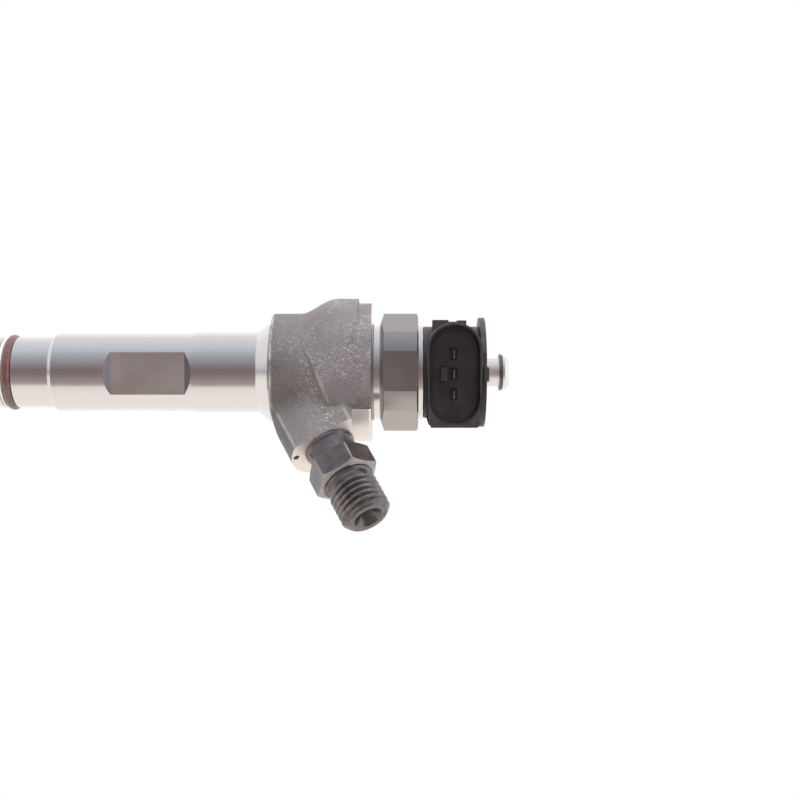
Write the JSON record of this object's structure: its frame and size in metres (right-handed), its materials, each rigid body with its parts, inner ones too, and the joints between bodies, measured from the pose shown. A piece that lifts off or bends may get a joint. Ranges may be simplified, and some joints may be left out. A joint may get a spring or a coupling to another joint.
{
  "type": "fuel injector",
  "caption": "Common-rail diesel injector with a solenoid valve, an angled threaded inlet, clamp flats, a plug-in electrical socket and a return stub.",
  "frame": {"origin": "on the injector's long axis, at the lower sealing face of the copper washer", "axes": "+Z along the injector's axis from the nozzle towards the return stub; the electrical socket opens towards -Y; the inlet leans towards +X, -Y and +Z"},
  "size_m": [0.0543, 0.0486, 0.1963],
  "materials": {
    "turned_steel": "turned, satin",
    "forged_steel": "shot-blasted forging with turned faces",
    "hardened_steel": "ground",
    "lapped_steel": "lapped",
    "spring_steel": "oiled wire",
    "copper": "annealed copper",
    "red_rubber": "fluorocarbon rubber",
    "black_rubber": "matt",
    "ptfe": "filled PTFE",
    "soft_magnetic": "sintered",
    "enamelled_wire": "enamelled copper wire",
    "black_plastic": "glass-filled nylon",
    "tinned_brass": "tinned",
    "bright_steel": "bright plated",
    "phosphated_steel": "manganese phosphate"
  },
  "bodies": {
    "injector": {"sealing_washer": "copper", "nozzle_body": "hardened_steel", "nozzle_nut": "turned_steel", "dowel_pins": "hardened_steel", "nozzle_spring": "spring_steel", "nozzle_spring_shim": "hardened_steel", "holder_body": "forged_steel", "body_o_ring": "red_rubber", "backup_ring": "ptfe", "valve_piece": "hardened_steel", "valve_seal_ring": "ptfe", "valve_clamp_nut": "phosphated_steel", "overtravel_spring": "spring_steel", "armature_guide": "hardened_steel", "lift_shim": "hardened_steel", "magnet_sleeve": "turned_steel", "magnet_o_ring": "black_rubber", "magnet_core": "soft_magnetic", "coil_bobbin": "black_plastic", "coil_winding": "enamelled_wire", "valve_spring": "spring_steel", "valve_spring_shim": "hardened_steel", "solenoid_nut": "turned_steel", "dust_ring": "black_rubber", "connector_housing": "black_plastic", "housing_o_ring": "black_rubber", "cover_plate": "black_plastic", "terminals": "tinned_brass", "return_stub": "bright_steel", "stub_seal_ring": "black_rubber", "inlet_fitting": "phosphated_steel", "inlet_seal_ring": "copper", "inlet_filter": "hardened_steel", "channel_plug": "hardened_steel"},
    "needle_train": {"nozzle_needle": "lapped_steel", "needle_spring_seat": "hardened_steel", "control_piston": "lapped_steel"},
    "armature": {"armature_cup": "hardened_steel", "armature_rod": "lapped_steel", "armature_clip": "spring_steel"},
    "plate": {"armature_plate": "soft_magnetic"},
    "ball": {"valve_ball": "hardened_steel"}
  },
  "joints": [
    {"name": "needle_lift", "type": "slide", "parent": "injector", "child": "needle_train", "axis": [0, 0, 1], "range_m": [0, 0.00025], "stiffness_N_per_m": 30000, "springref_m": -0.001, "deforming": ["nozzle_spring"]},
    {"name": "armature_lift", "type": "slide", "parent": "injector", "child": "armature", "axis": [0, 0, 1], "range_m": [0, 0.00006], "stiffness_N_per_m": 30000, "springref_m": -0.001, "deforming": ["valve_spring"]},
    {"name": "plate_overtravel", "type": "slide", "parent": "armature", "child": "plate", "axis": [0, 0, 1], "range_m": [-0.00005, 0], "stiffness_N_per_m": 8000, "springref_m": 0.0005, "deforming": ["overtravel_spring"]},
    {"name": "ball_lift", "type": "slide", "parent": "injector", "child": "ball", "axis": [0, 0, 1], "range_m": [0, 0.00006]}
  ],
  "couplings": [
    {"joint": "ball_lift", "follows": "armature_lift", "ratio": 1}
  ]
}
